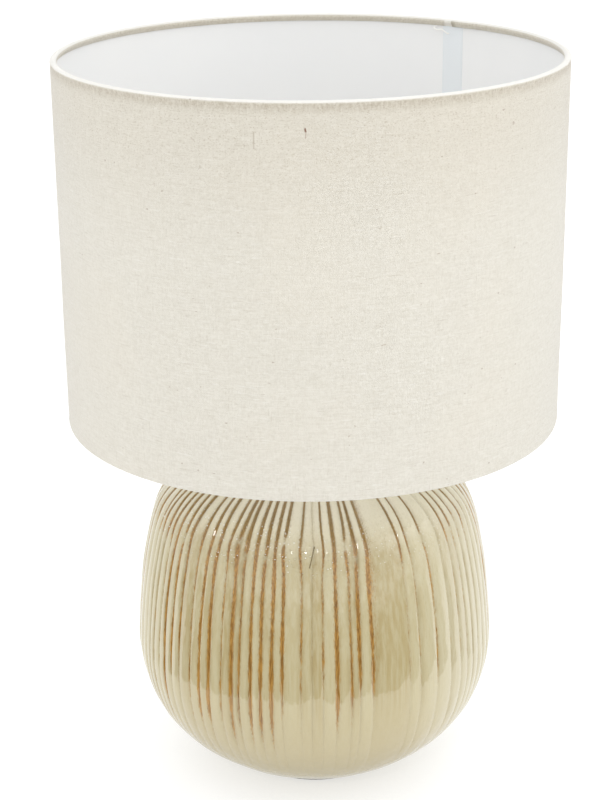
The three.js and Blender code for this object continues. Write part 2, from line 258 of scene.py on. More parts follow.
def linen_material(radius, top, seam):
    """Slubby plain weave: threads of uneven tone, thicker slubs along both, and now and then a fleck of husk.
    A painted highlight makes the top edge pale, and painted shade and glue darken the cloth just below it."""
    look = Look("linen", roughness=0.92, Specular_IOR_Level=0.2, Sheen_Weight=0.5, Sheen_Roughness=0.35)
    cloth = look.place_in_mm()
    x, y, height = look.split(cloth)
    azimuth = look.math("ARCTAN2", x, y)
    depth = look.math("SUBTRACT", top / MM, height)
    weave = linen_weave(look, cloth, azimuth, height, TURN * radius / MM / THREADS_ROUND)

    warp_tone = look.streaks(cloth, 1.3, 0.13, 3, 0.6)
    weft_tone = look.streaks(cloth, 0.11, 1.3, 3, 0.6)
    mottle = look.noise(cloth, 0.55, 4, 0.75)
    threads = look.plus(look.times(warp_tone, 0.4), look.times(weft_tone, 0.6))
    tone = look.plus(look.times(threads, 0.5), look.times(mottle, 0.5))
    look.color = srgb(221, 216, 203)
    look.paint(look.span(tone, 0.34, 0.64), 235, 231, 220)
    # Painted shade in the hollows of the weave, between the threads.
    look.paint(look.span(weave, 0, 0.5, 0.12, 0), 186, 176, 158)
    for across, along, low, high, share, color in SLUBS:
        look.paint(look.span(look.streaks(cloth, across, along, 1), low, high, 0, share), *color)
    look.paint(look.span(look.noise(cloth, 0.012, 1), 0.4, 0.65, 0, 0.18), 234, 226, 210)
    # Painted shade: the cloth a little darker over its top 100 mm.
    look.paint(look.span(depth, 100, 2, 0, 0.14), 190, 176, 150)
    # Painted shade, with some glue, in a band just below the top edge.
    paint_glue_and_shade(look, cloth, depth, radius)
    near_top = look.span(depth, 90, 6, 0, 0.42)
    specks = look.span(look.streaks(cloth, 0.9, 1.6, 2, 0.7), 0.54, 0.7)
    look.paint(look.times(specks, near_top), 160, 142, 114)
    paint_seam(look, depth, look.times(look.math("SUBTRACT", azimuth, seam), radius / MM))
    # Painted highlight: the top edge painted nearly white, as if lit from above.
    look.paint(look.span(depth, 1.3, 0.5, 0, 0.8), 252, 251, 247)
    flecks = look.streaks(cloth, 0.34, 0.6, 0)
    look.paint(look.span(flecks, 0.845, 0.89, 0, 0.4), 136, 104, 78)
    for right, down, lean, half_width, half_length, share, color in HUSKS:
        husk = mark(look, cloth, (right, 0, top / MM - down), lean, half_width, half_length)
        look.paint(look.times(husk, share), *color)
    look.bump(look.plus(look.times(weave, 0.5), look.times(tone, 0.9)), 0.00035, 0.8)
    return look.material


def linen_weave(look, cloth, azimuth, height, pitch):
    """How high the threads stand. Each set is on top at every other crossing."""
    drift = look.times(look.noise(cloth, 0.05), 3)
    warp_phase = look.plus(look.times(azimuth, THREADS_ROUND / TURN), drift)
    weft_phase = look.plus(look.math("DIVIDE", height, pitch), drift)

    def thread(phase):
        return look.math("ABSOLUTE", look.math("SINE", look.times(phase, math.pi)))

    crossing = look.plus(look.math("FLOOR", warp_phase), look.math("FLOOR", weft_phase))
    warp_on_top = look.math("PINGPONG", crossing, 1)
    weft_height = look.times(thread(weft_phase), look.math("SUBTRACT", 1, warp_on_top))
    return look.plus(look.times(thread(warp_phase), warp_on_top), weft_height)


def paint_glue_and_shade(look, cloth, depth, radius):
    """The uneven dark line below the top edge, partly painted shade under the rolled edge and partly glue,
    weaker inside the fold.
    """
    glue_and_shade_band = look.times(look.span(depth, 0.7, 2), look.span(depth, 8.5, 1.6))
    # An uneven mottle across the band of painted shade and glue.
    worn = look.streaks(cloth, 0.8, 0.3, 4, 0.7)
    glue_and_shade = look.times(glue_and_shade_band, look.span(worn, 0.36, 0.66, 0.16, 0.55))
    flat = look.scaled(cloth, (1, 1, 0))
    from_axis = look.node("VectorMath", flat, operation="LENGTH").outputs["Value"]
    fold_inside = radius / MM - 2.4
    outside = look.span(from_axis, fold_inside - 0.8, fold_inside, 0.45, 1)
    look.paint(look.times(glue_and_shade, outside), 168, 154, 131)


def paint_seam(look, depth, past_seam):
    """Painted shade in the gap past the seam on the top fold, and a frayed pale edge before it."""
    gap = look.times(look.span(past_seam, -0.4, 0.2), look.span(past_seam, 4.5, 1))
    frayed = look.times(look.span(past_seam, -7, -4), look.span(past_seam, 0.2, -0.4))
    # The gap's colour is painted shade; the frayed edge is the cloth's own pale fibres.
    for patch, share, color in ((gap, 0.5, (150, 140, 118)), (frayed, 0.6, (250, 248, 242))):
        look.paint(look.times(patch, look.span(depth, 9, 5, 0, share)), *color)


def liner_material(name, color, cloud_color):
    look = Look(name, roughness=0.5, Specular_IOR_Level=0.35)
    place = look.place()
    look.set("Base Color", look.mix(look.noise(place, 14), color, cloud_color))
    look.set("Roughness", look.span(look.noise(place, 60), 0.3, 0.7, 0.42, 0.58))
    look.bump(look.noise(place, 25), 0.0008, 0.3)
    return look.material


def glaze_material():
    """Celadon: thick and pale on the ribs, olive where it pools, and broken to amber-brown in the grooves."""
    look = Look("glaze", roughness=0.04, IOR=1.68)
    place = look.place_in_mm()
    right, _, height = look.split(place)

    def attribute(name):
        return look.node("Attribute", attribute_name=name).outputs["Fac"]

    streak = look.streaks(place, 0.45, 0.012, 3, 0.6)
    fine = look.streaks(place, 1.4, 0.05, 3, 0.6)
    ragged = look.streaks(place, 2.2, 0.16, 3, 0.65)
    liveliness = look.span(height, 66, 100, 0.35, 1)
    upper, lower = look.span(height, 170, 192), look.span(height, 84, 30)
    look.color = srgb(193, 181, 143)
    look.paint(look.times(attribute("tone"), liveliness), 177, 160, 116)
    look.paint(look.times(look.span(streak, 0.35, 0.65, 0, 0.5), liveliness), 199, 191, 158)
    # Painted light: the shoulder just under the shade painted paler, as if lit.
    look.paint(look.times(upper, 0.85), 232, 224, 199)
    look.paint(look.times(lower, 0.85), 183, 170, 135)
    # Painted shade: the glaze darker towards the foot.
    look.paint(look.span(height, 54, 10, 0, 0.9), 154, 142, 102)
    # Painted reflection: the flanks, the right one more, painted paler as if catching the white softboxes.
    for outer, inner, share in ((105, 50, 0.6), (-105, -60, 0.25)):
        look.paint(look.span(right, inner, outer, 0, share), 212, 206, 183)
    look.paint(look.times(attribute("pool"), look.span(streak, 0.3, 0.7, 0.95, 0.3)), 148, 128, 82)
    look.paint(look.times(look.span(fine, 0.5, 0.75, 0, 0.28), liveliness), 166, 152, 106)
    line = look.plus(attribute("brown"), look.span(ragged, 0.25, 0.75, -0.3, 0.22, False))
    amber = look.mix(look.span(fine, 0.35, 0.65), srgb(134, 94, 38), srgb(184, 138, 66))
    amber = look.mix(look.span(height, 168, 190, 0, 0.6), amber, srgb(126, 106, 54))
    look.color = look.mix(look.span(line, 0.08, 0.5, 0, 0.95), look.color, amber)

    shoulder = look.times(look.span(height, 160, 170), look.span(height, 194, 186))
    leftwards = look.span(right, 60, -10, 0.35, 1)
    patch = look.times(shoulder, look.span(look.noise(place, 0.05), 0.4, 0.5), leftwards)
    cells = look.named(look.node("TexVoronoi"), Vector=place, Scale=0.42).outputs["Distance"]
    # Painted highlights: tiny white dots on the shoulder, more to the left, stand in for glints.
    look.paint(look.times(look.span(cells, 0.21, 0.08), patch, 0.9), 252, 251, 244)
    nick = mark(look, place, (-1.2, 0, 174.8), 15, 0.15, 5.4)
    look.paint(look.times(nick, 0.85), 104, 88, 44)
    ripple = look.noise(look.scaled(place, (0.16, 0.16, 0.05)))
    bubble = look.times(look.span(cells, 0.45, 0.1), patch)
    relief = look.plus(look.times(ripple, 0.7), look.times(bubble, 0.4))
    look.bump(look.math("SUBTRACT", relief, look.times(nick, 0.3)), 0.001, 0.7)
    return look.material


def mark(look, place, middle, lean, half_width, half_length):
    """One on a single slanted mark on the front. Lengths are in millimetres and the lean is in degrees."""
    lean = math.radians(lean)
    offset = look.node("VectorMath", place, middle, operation="SUBTRACT").outputs[0]

    def reach(direction, half, softness):
        share = look.node("VectorMath", offset, direction, operation="DOT_PRODUCT").outputs["Value"]
        return look.span(look.math("ABSOLUTE", share), half + softness, half)

    across = reach((math.cos(lean), 0, -math.sin(lean)), half_width, 0.35)
    along = reach((math.sin(lean), 0, math.cos(lean)), half_length, 0.8)
    front = look.span(look.split(place)[1], -40, -60)
    return look.times(across, along, front)


def metal_material(name, color, roughness, wear_color):
    """Plated or turned metal: fine turning marks, with a duller tone in patches."""
    look = Look(name, color, roughness, Metallic=1)
    place = look.place()
    marks = look.streaks(place, 40, 2600)
    patches = look.noise(place, 180, 3)
    look.set("Base Color", look.mix(look.span(patches, 0.45, 0.75, 0, 0.25), color, wear_color))
    look.set("Roughness", look.span(patches, 0.3, 0.7, roughness * 0.8, roughness * 1.4))
    look.bump(marks, 0.00003, 0.5)
    return look.material


def moulded_material(name, color, roughness, grain, depth, **sockets):
    """Moulded plastic, rubber, felt, paint or porcelain: a grain, and a slightly uneven tone."""
    look = Look(name, color, roughness, **sockets)
    place = look.place()
    patches = look.noise(place, 70, 3)
    darker = tuple(channel * 0.86 for channel in color[:3]) + (1,)
    look.set("Base Color", look.mix(look.span(patches, 0.3, 0.75, 0, 0.5), color, darker))
    look.set("Roughness", look.span(patches, 0.3, 0.7, roughness * 0.85, min(1, roughness * 1.2)))
    look.bump(look.noise(place, grain, 3), depth, 0.6)
    return look.material


# Materials: a name and a colour, then the colour of clouds in it, or a roughness and the colour where it is
# worn, or a roughness and the scale and depth of its grain.
LINERS = [
    ("liner", (238, 239, 240), (243, 243, 242)),
    ("liner_strip", (229, 234, 237), (233, 237, 240)),
    ("thread", (250, 250, 247), (246, 245, 240)),
]
METALS = [
    ("zinc_steel", (205, 205, 203), 0.35, (160, 160, 158)),
    ("brass", (205, 170, 105), 0.24, (160, 118, 62)),
    ("contact_brass", (214, 182, 118), 0.3, (170, 134, 78)),
    ("nickel", (212, 209, 203), 0.22, (160, 158, 152)),
]
MOULDED = [
    ("rubber", (48, 46, 44), 0.75, 700, 0.00008),
    ("holder_plastic", (238, 236, 229), 0.32, 1500, 0.00004),
    ("switch_plastic", (241, 239, 232), 0.22, 1500, 0.00004),
    ("bulb_plastic", (240, 240, 236), 0.35, 1500, 0.00004),
    ("opal_plastic", (246, 244, 237), 0.28, 800, 0.00002),
    ("porcelain", (238, 236, 228), 0.18, 600, 0.00003),
    ("painted_wire", (238, 238, 234), 0.35, 1200, 0.00006),
    ("black_glass", (26, 25, 27), 0.12, 500, 0.00002),
]


def make_materials():
    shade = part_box("shade_fabric")[1]
    materials = {
        "linen": linen_material(shade.x, shade.z, math.pi / 2 - seam_azimuth()),
        "glaze": glaze_material(),
        "felt": moulded_material("felt", srgb(98, 94, 86), 1, 900, 0.0004, Sheen_Weight=0.6),
    }
    for name, color, clouds in LINERS:
        materials[name] = liner_material(name, srgb(*color), srgb(*clouds))
    for name, color, roughness, worn in METALS:
        materials[name] = metal_material(name, srgb(*color), roughness, srgb(*worn))
    for name, color, roughness, grain, depth in MOULDED:
        materials[name] = moulded_material(name, srgb(*color), roughness, grain, depth)
    return materials


# ---- Mesh helpers ----
def polar(azimuth, radius, height=0.0):
    return (radius * math.cos(azimuth), radius * math.sin(azimuth), height)


def merged(data, distance=1e-6):
    """A bmesh copy in which points closer than the distance are one."""
    mesh = bmesh.new()
    mesh.from_mesh(data)
    bmesh.ops.remove_doubles(mesh, verts=mesh.verts, dist=distance)
    return mesh


def new_object(name, vertices, faces):
    mesh = bpy.data.meshes.new(name)
    mesh.from_pydata(vertices, [], faces)
    mesh.validate()
    mesh.update()
    return add_object(name, mesh)


def finish_piece(piece, node, material, smooth_angle=50):
    """Shades the piece, gives it its material unless it has its own, and puts it in its CAD node's place."""
    record = frame["record"]
    body = next(name for name, nodes in record["behaviour"]["bodies"].items() if node in nodes)
    piece.data.shade_smooth()
    if smooth_angle < 180:
        piece.data.set_sharp_from_angle(angle=math.radians(smooth_angle))
    if material:
        piece.data.materials.clear()
        piece.data.materials.append(MATERIALS[material])
    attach(piece, body)
    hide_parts(node)
    return piece


def own_axis(node):
    """The frame of a small turned node: its middle, with Z along its axis."""
    vertices = frame["nodes"][node].data.vertices
    corners = np.unique([tuple(round(value, 7) for value in vertex.co) for vertex in vertices], axis=0)
    middle = corners.mean(axis=0)
    spreads, directions = np.linalg.eigh(np.cov((corners - middle).T))
    alone = 0 if spreads[1] - spreads[0] > spreads[2] - spreads[1] else 2
    axis = Vector(directions[:, alone])
    if axis[max(range(3), key=lambda i: abs(axis[i]))] < 0:
        axis.negate()
    return Matrix.Translation(middle) @ axis.to_track_quat("Z", "Y").to_matrix().to_4x4()


def half_section(node, azimuth=-90.0, place=Matrix()):
    """The outline, as (radius, height) points, where a half-plane from a turned node's axis cuts it, and
    whether it is closed."""
    angle = math.radians(azimuth + 0.01)
    along = Vector(polar(angle, 1))
    square = Vector((-math.sin(angle), math.cos(angle), 0))
    mesh = merged(frame["nodes"][node].data)
    mesh.transform(place.inverted())
    everything = mesh.verts[:] + mesh.edges[:] + mesh.faces[:]
    cut = bmesh.ops.bisect_plane(mesh, geom=everything, plane_co=(0, 0, 0), plane_no=square, dist=1e-8)
    edges = [edge for edge in cut["geom_cut"] if isinstance(edge, bmesh.types.BMEdge)
             and all(vertex.co.dot(along) > -1e-6 for vertex in edge.verts)]
    neighbours = {}
    for edge in edges:
        first, second = edge.verts
        neighbours.setdefault(first, []).append(second)
        neighbours.setdefault(second, []).append(first)
    ends = [vertex for vertex, near in neighbours.items() if len(near) == 1]
    start = min(ends or neighbours, key=lambda vertex: (vertex.co.z, -vertex.co.dot(along)))
    route, previous = [start], None
    while True:
        onward = [v for v in neighbours[route[-1]] if v is not previous and v is not route[-1]]
        previous = route[-1]
        if not onward or onward[0] is start:
            break
        route.append(onward[0])
    points = [(max(0.0, vertex.co.dot(along)), vertex.co.z) for vertex in route]
    mesh.free()
    return without_straight_points(points, closed=not ends), not ends


# The sine of the largest turn that counts as straight, and the least turn in degrees that gets a bevel.
STRAIGHT, SHARP = 1e-3, 34.0


def without_straight_points(points, closed):
    """The outline without double points and without those on a straight line."""
    kept = []
    for index, point in enumerate(points):
        if not closed and index in (0, len(points) - 1):
            kept.append(point)
            continue
        before, after = Vector(points[index - 1]), Vector(points[(index + 1) % len(points)])
        one, two = Vector(point) - before, after - Vector(point)
        if one.length < 1e-7 or two.length < 1e-7:
            continue
        if abs(one.normalized().cross(two.normalized())) > STRAIGHT or one.dot(two) < 0:
            kept.append(point)
    return kept


def rounded(points, closed, bevel=0.3 * MM, steps=3):
    """The outline with its sharp corners bevelled and its gentle ones made into one smooth curve."""
    result = []
    for index, point in enumerate(points):
        if not closed and index in (0, len(points) - 1):
            result.append(tuple(point))
            continue
        corner = Vector(point)
        before = Vector(points[index - 1]) - corner
        after = Vector(points[(index + 1) % len(points)]) - corner
        turn = 180 - math.degrees(before.angle(after))
        reach = 0.5 * min(before.length, after.length)
        if turn > SHARP:
            reach = min(bevel, 0.45 * min(before.length, after.length))
        start, end = corner + before.normalized() * reach, corner + after.normalized() * reach
        for step in range(steps + 1):
            t = step / steps
            result.append(tuple(start * (1 - t) ** 2 + corner * 2 * t * (1 - t) + end * t ** 2))
    return result


def lathe(name, section, closed, segments=96, reshape=None, azimuths=None):
    """Turns an outline about Z. reshape(azimuth, radius, height) gives the radius and height there."""
    azimuths = azimuths or [TURN * i / segments for i in range(segments)]
    segments = len(azimuths)

    def at(azimuth, radius, height):
        if reshape:
            radius, height = reshape(azimuth, radius, height)
        return polar(azimuth, radius, height)

    vertices, faces, rows = [], [], []
    for radius, height in section:
        if radius < 1e-7:
            rows.append([len(vertices)] * segments)
            vertices.append((0, 0, height))
        else:
            rows.append(list(range(len(vertices), len(vertices) + segments)))
            vertices += [at(azimuth, radius, height) for azimuth in azimuths]
    pairs = list(zip(rows, rows[1:])) + ([(rows[-1], rows[0])] if closed else [])
    for low, high in pairs:
        for i in range(segments):
            j = (i + 1) % segments
            face = list(dict.fromkeys((low[i], low[j], high[j], high[i])))
            if len(face) > 2:
                faces.append(face)
    piece = new_object(name, vertices, faces)
    face_outwards(piece)
    return piece


def face_outwards(piece):
    mesh = merged(piece.data, 1e-8)
    bmesh.ops.recalc_face_normals(mesh, faces=mesh.faces)
    mesh.to_mesh(piece.data)
    mesh.free()


def drill(piece, place, section):
    """Takes a turned shape, whose axis is the frame's Z, out of a piece."""
    tool = lathe("tool", section, closed=False, segments=64)
    tool.matrix_world = place
    subtract(piece, tool)


def subtract(piece, tool):
    cut = piece.modifiers.new("cut", "BOOLEAN")
    cut.operation, cut.solver, cut.object = "DIFFERENCE", "EXACT", tool
    bpy.context.view_layer.objects.active = piece
    bpy.ops.object.modifier_apply(modifier="cut")
    bpy.data.objects.remove(tool)


def quads(rows, width, around=False):
    """The faces between rows of points that are rings, and from the last row to the first if around."""
    return [
        (row * width + i, row * width + (i + 1) % width, after * width + (i + 1) % width, after * width + i)
        for row, after in ((row, (row + 1) % rows) for row in range(rows if around else rows - 1))
        for i in range(width)
    ]


def swept(name, rings):
    """A closed skin over rings of points, with a fan over each end."""
    width = len(rings[0])
    vertices = [tuple(point) for ring in rings for point in ring]
    faces = quads(len(rings), width)
    for ring, first in ((rings[0], 0), (rings[-1], (len(rings) - 1) * width)):
        faces += [(len(vertices), first + i, first + (i + 1) % width) for i in range(width)]
        vertices.append(tuple(sum((Vector(point) for point in ring), Vector()) / width))
    piece = new_object(name, vertices, faces)
    face_outwards(piece)
    return piece


def wire(name, route, radius, sides=16):
    """A round wire along a route, its two ends slightly rounded."""
    rings = []
    across = (route[1] - route[0]).orthogonal().normalized()
    last = len(route) - 1
    turns = [TURN * i / sides for i in range(sides)]
    for index, point in enumerate(route):
        ahead = (route[min(index + 1, last)] - route[max(index - 1, 0)]).normalized()
        across = (across - ahead * across.dot(ahead)).normalized()
        up = ahead.cross(across)
        spokes = [across * math.cos(turn) + up * math.sin(turn) for turn in turns]

        def ring(middle, share=1.0):
            return [middle + spoke * radius * share for spoke in spokes]

        if index == 0:
            rings += [ring(point, 0.6), ring(point + ahead * radius * 0.3)]
        elif index == last:
            rings += [ring(point - ahead * radius * 0.3), ring(point, 0.6)]
        else:
            rings.append(ring(point))
    return swept(name, rings)


def smooth_route(knots, steps=10):
    """Points of a Catmull-Rom spline through the knots, which are spaced by the root of their distance."""
    knots = [Vector(knot) for knot in knots]
    knots = [2 * knots[0] - knots[1], *knots, 2 * knots[-1] - knots[-2]]
    route = []
    for p0, p1, p2, p3 in zip(knots, knots[1:], knots[2:], knots[3:]):
        t1 = (p1 - p0).length ** 0.5
        t2 = t1 + (p2 - p1).length ** 0.5
        t3 = t2 + (p3 - p2).length ** 0.5
        for step in range(steps):
            t = t1 + (t2 - t1) * step / steps
            share = (t - t1) / (t2 - t1)
            a1, a2, a3 = p0.lerp(p1, t / t1), p1.lerp(p2, share), p2.lerp(p3, (t - t2) / (t3 - t2))
            b1, b2 = a1.lerp(a2, t / t2), a2.lerp(a3, (t - t1) / (t3 - t1))
            route.append(b1.lerp(b2, share))
    return route + [knots[-2]]


def bevelled(node, material, width=0.4 * MM):
    """A flat-sided CAD node made again with its edges rounded over."""
    mesh = merged(frame["nodes"][node].data)
    bmesh.ops.dissolve_limit(mesh, angle_limit=math.radians(1), verts=mesh.verts, edges=mesh.edges)
    sharp = [edge for edge in mesh.edges if edge.calc_face_angle(0) > math.radians(35)]
    bmesh.ops.bevel(mesh, geom=sharp, offset=width, segments=3, profile=0.5, affect="EDGES",
                    clamp_overlap=True)
    data = bpy.data.meshes.new(node + "_fine")
    mesh.to_mesh(data)
    mesh.free()
    return finish_piece(add_object(node + "_fine", data), node, material, 30)


# ---- Turned pieces ----
def fine_lathe(node, material, segments=96, reshape=None, spacing=None, place=Matrix(), azimuth=-90.0):
    """A turned CAD node made again with a smooth outline, bevelled edges and more segments."""
    points, closed = half_section(node, azimuth, place)
    section = rounded(points, closed)
    if spacing:
        section = with_extra_rows(section, spacing)
    piece = lathe(node + "_fine", section, closed, segments, reshape)
    piece.data.transform(place)
    return finish_piece(piece, node, material)


def thread_wave(azimuth, height, pitch):
    """From none in a screw thread's root to one on its crest."""
    return 0.5 + 0.5 * math.cos(TURN * (height / pitch - azimuth / TURN))


def helix(low, high, root, crest, pitch):
    """A reshape that cuts a rounded thread between two heights into what stands outside a radius."""
    def reshape(azimuth, radius, height):
        if radius < root - 0.05 * MM or not low < height < high:
            return radius, height
        fade = min(1.0, (height - low) / pitch, (high - height) / pitch)
        return root + (crest - root) * (thread_wave(azimuth, height, pitch) * fade), height
    return reshape


def with_extra_rows(section, spacing):
    """The outline with points added where two are further apart than the spacing, a length or a rule."""
    result = []
    for index, point in enumerate(section):
        following = section[(index + 1) % len(section)]
        length = (Vector(following) - Vector(point)).length
        pieces = max(1, round(length / (spacing(point, following) if callable(spacing) else spacing)))
        result += [tuple(Vector(point).lerp(Vector(following), step / pieces)) for step in range(pieces)]
    return result


def make_turned_pieces():
    for node, material in {
        "foot_pad": "felt", "crown_cap": "brass", "neck_sleeve": "brass", "carrier_ring": "painted_wire",
        "top_wire_ring": "painted_wire", "bottom_wire_ring": "painted_wire", "contact_carrier": "porcelain",
        "bulb_tip_contact": "nickel", "bulb_insulator": "black_glass", "bulb_housing": "bulb_plastic",
        "bulb_led_plate": "zinc_steel", "bulb_globe": "opal_plastic", "inner_rubber_washer": "rubber",
        "inner_steel_washer": "zinc_steel",
    }.items():
        fine_lathe(node, material)
    for node, material in {
        "cable_grommet": "rubber", "switch_bar": "switch_plastic", "holder_grub_screw": "zinc_steel",
        "terminal_screw_live": "zinc_steel", "terminal_screw_neutral": "zinc_steel",
    }.items():
        piece = fine_lathe(node, material, 48, place=own_axis(node))
        if "screw" in node:
            cut_slot(piece, own_axis(node))


def cut_slot(screw, place):
    """A screwdriver slot across the screw's outer end."""
    corners = [place.inverted() @ vertex.co for vertex in screw.data.vertices]
    radius, length = max(corner.x for corner in corners), max(corner.z for corner in corners)
    outward = 1 if place.translation.dot(place.to_3x3().col[2]) > 0 else -1
    bpy.ops.mesh.primitive_cube_add(size=1)
    tool = bpy.context.object
    tool.matrix_world = place @ Matrix.Translation((0, 0, outward * length))
    tool.scale = (radius * 0.3, radius * 3, radius * 0.8)
    subtract(screw, tool)


def make_threaded_pieces():
    """Pieces with a screw thread, which CAD shows as plain rings."""
    def box(node):
        lo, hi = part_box(node)
        return lo.z, hi.z, hi.x

    low, high, radius = box("threaded_tube")
    thread = helix(low + 0.5 * MM, high - 0.5 * MM, radius - 0.5 * MM, radius, 1.25 * MM)
    fine_lathe("threaded_tube", "zinc_steel", 64, reshape=thread, spacing=0.25 * MM)

    low, high, _ = box("screw_shell")
    edison_pitch = 3.63 * MM

    def rolled(azimuth, radius_here, height):
        """Both faces of the sheet follow the thread."""
        fade = smooth_step(0, edison_pitch, min(height - low, high - height))
        return radius_here + 0.55 * MM * thread_wave(azimuth, height, edison_pitch) * fade, height
    fine_lathe("screw_shell", "contact_brass", reshape=rolled, spacing=0.5 * MM)

    low, high, radius = box("bulb_screw_cap")
    thread = helix(low + 0.8 * MM, high - 3.8 * MM, radius - 1.0 * MM, radius, edison_pitch)
    fine_lathe("bulb_screw_cap", "nickel", reshape=thread, spacing=0.4 * MM)

    low, high, radius = box("shade_ring")
    collar = radius - 3.1 * MM
    grips = 36

    def fluted(azimuth, radius_here, height):
        if abs(radius_here - collar) > 0.3 * MM:
            return radius_here, height
        fade = smooth_step(0.6 * MM, 1.6 * MM, min(height - low - 2.4 * MM, high - height))
        return radius_here - 0.6 * MM * fade * max(0.0, math.cos(azimuth * grips)) ** 0.7, height
    fine_lathe("shade_ring", "holder_plastic", grips * 10, reshape=fluted, spacing=0.5 * MM)

    flange = box("holder_skirt")[2]
    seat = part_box("carrier_ring")[0].z - 0.3 * MM
    crest = flange - 4.2 * MM
    thread = helix(seat + 0.2 * MM, seat + 18 * MM, crest - 0.7 * MM, crest, 3 * MM)
    fine_lathe("holder_skirt", "holder_plastic", reshape=thread, spacing=0.4 * MM)


def make_holder_cap():
    piece = fine_lathe("holder_cap", "holder_plastic", azimuth=-45.0)
    for node in ("switch_bar", "holder_grub_screw"):
        lo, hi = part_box(node)
        hole = (hi.z - lo.z) / 2 + 0.3 * MM
        reach = max(hi.x - lo.x, hi.y - lo.y)
        drill(piece, own_axis(node), [(0, -reach), (hole, -reach), (hole, reach), (0, reach)])


def make_flat_pieces():
    for node, material in {
        "switch_housing": "porcelain", "terminal_live": "contact_brass", "terminal_neutral": "contact_brass",
        "inner_hex_nut": "brass",
    }.items():
        bevelled(node, material)
    bevelled("centre_contact", "contact_brass", 0.15 * MM)


# ---- Shade ----
def tucked(point):
    """Carries the loose edges of the folds on past the wires to the liner."""
    radius, height = point
    wire_lo, wire_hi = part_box("top_wire_ring")
    wire_radius = (wire_hi.z - wire_lo.z) / 2
    liner_lo, liner_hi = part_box("shade_liner")
    highest = wire_hi.z - wire_radius - 0.3 * MM
    lowest = sum(corner.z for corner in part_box("bottom_wire_ring")) / 2 + 0.3 * MM
    if radius > wire_hi.x - wire_radius or not lowest < height < highest:
        return point
    upper = height > (liner_lo.z + liner_hi.z) / 2
    return radius + 1.75 * MM, liner_hi.z - 0.1 * MM if upper else liner_lo.z + 0.7 * MM


def seam_azimuth():
    """Where the cover's two ends overlap: over the liner's own overlap."""
    lo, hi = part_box("liner_seam_strip")
    return math.atan2(lo.y + hi.y, lo.x + hi.x)


COVER_COLUMNS = 360


def make_linen_cover():
    points, closed = half_section("shade_fabric")
    section = rounded([tucked(point) for point in points], closed, 0.1 * MM)
    lo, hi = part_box("shade_fabric")
    edge_zone = 9 * MM

    def spacing(point, following):
        near_edge = min(hi.z - point[1], point[1] - lo.z) < edge_zone
        return 0.7 * MM if near_edge and point[0] > hi.x - 0.3 * MM else 5 * MM
    section = with_extra_rows(with_extra_rows(section, edge_zone), spacing)
    seam, seam_step = seam_azimuth(), 0.0012
    overlap, cloth = 12 * MM / hi.x, 0.45 * MM
    azimuths = [TURN * i / COVER_COLUMNS for i in range(COVER_COLUMNS)]
    azimuths = sorted(azimuths + [seam + step * seam_step for step in range(-4, 5)])

    def shaped(azimuth, radius, height):
        """Stretched cloth is a little out of true. It stands proud over the wires and waists in below them,
        and its outer end lies over the inner one in a step at the seam."""
        wave, ruffle = Vector(polar(azimuth, 3, height * 14)), Vector(polar(azimuth, 22, height * 4))
        radius += 0.25 * MM * noise.noise(wave) + 0.08 * MM * noise.noise(ruffle)
        past = (azimuth - seam + math.pi) % TURN - math.pi
        lifted = smooth_step(-1.6 * overlap, -overlap, past) * (1 - smooth_step(-seam_step, seam_step, past))
        from_top, from_bottom = (hi.z - height) / MM, (height - lo.z) / MM
        if radius > hi.x - 0.9 * MM:
            radius += MM * (0.35 * bell(from_top, 1.1, 0.9) - 0.3 * bell(from_top, 3.3, 1.3))
            radius += MM * (0.3 * bell(from_bottom, 1.1, 0.9) - 0.2 * bell(from_bottom, 3.0, 1.1))
            radius += cloth * lifted
        elif from_top < 6:
            radius -= cloth * lifted
        return radius, height

    cover = lathe("linen_cover", section, closed, reshape=shaped, azimuths=azimuths)
    return finish_piece(cover, "shade_fabric", "linen", 60)


def bell(value, middle, width):
    return math.exp(-(((value - middle) / width) ** 2))


def make_shade():
    cover = make_linen_cover()
    lo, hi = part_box("shade_fabric")
    raised = 0.8 * MM

    def up_into_fold(azimuth, radius, height):
        return radius, height + (raised if height > (lo.z + hi.z) / 2 else 0)
    liner = fine_lathe("shade_liner", "liner", 256, reshape=up_into_fold)
    make_liner_strip()
    make_carrier_arms()


def make_liner_strip():
    """The liner's overlapped end: a band whose two edges thin out, with a stray thread at its top."""
    lo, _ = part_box("liner_seam_strip")
    lap = [v.co for v in frame["nodes"]["liner_seam_strip"].data.vertices]
    outer, inner = max(p.xy.length for p in lap), min(p.xy.length for p in lap)
    middle = seam_azimuth()
    half = max(abs(math.atan2(p.y, p.x) - middle) for p in lap)
    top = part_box("shade_liner")[1].z
    face, low, edge, columns = outer + 0.47 * MM, lo.z, 0.1 * MM, 32
    rings = []
    for step in range(columns + 1):
        share = 2 * step / columns - 1
        thick = (outer - inner) * max(0.2, smooth_step(0.0, 0.15, 1 - abs(share)))
        back = face - thick
        section = [(face, low), (back + edge / 2, low), (back, low + edge)]
        section += [(back, low + (top - low) * i / 12) for i in range(1, 12)]
        section += [(back, top - edge), (back + edge / 2, top), (face, top)]
        ahead = Vector(polar(middle + half * share, 1))
        rings.append([ahead * radius + Vector((0, 0, height)) for radius, height in section])
    strip = swept("liner_strip", rings)
    strip.data.materials.append(MATERIALS["liner_strip"])
    thread = make_stray_thread(middle + half, outer - 0.5 * MM, top)
    thread.data.materials.append(MATERIALS["thread"])
    bpy.context.view_layer.objects.active = strip
    strip.select_set(True)
    thread.select_set(True)
    bpy.ops.object.join()
    finish_piece(strip, "liner_seam_strip", None, 40)


